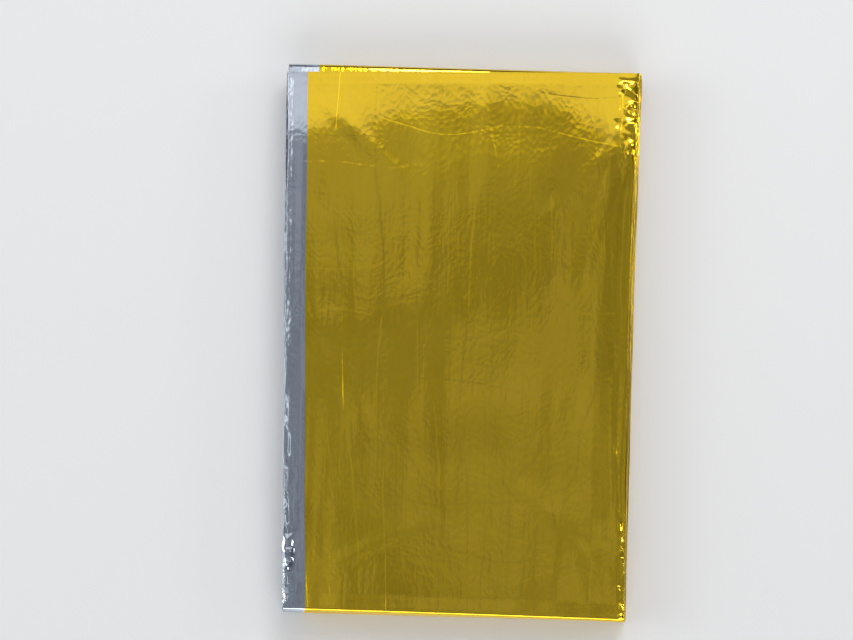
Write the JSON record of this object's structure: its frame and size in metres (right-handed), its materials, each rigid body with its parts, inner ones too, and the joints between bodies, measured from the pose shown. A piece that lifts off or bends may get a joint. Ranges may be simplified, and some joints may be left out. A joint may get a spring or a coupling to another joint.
{
  "type": "emergency foil blanket",
  "caption": "Emergency blanket of thin gold and silver metallised film, folded back and forth into a flat, slightly uneven packet that lies on its back.",
  "frame": {"origin": "middle of the packet's footprint, on the surface that it lies on", "axes": "+X to the right of the gold face, +Y to the head, where the film's free end lies on the face, +Z out of the face"},
  "size_m": [0.1364, 0.21, 0.0172],
  "materials": {
    "foil_film": "mirror-bright metallised polyester film, gold on one face and silver on the other, finely crinkled"
  },
  "bodies": {
    "root": {"foil_blanket": "foil_film"}
  },
  "joints": []
}
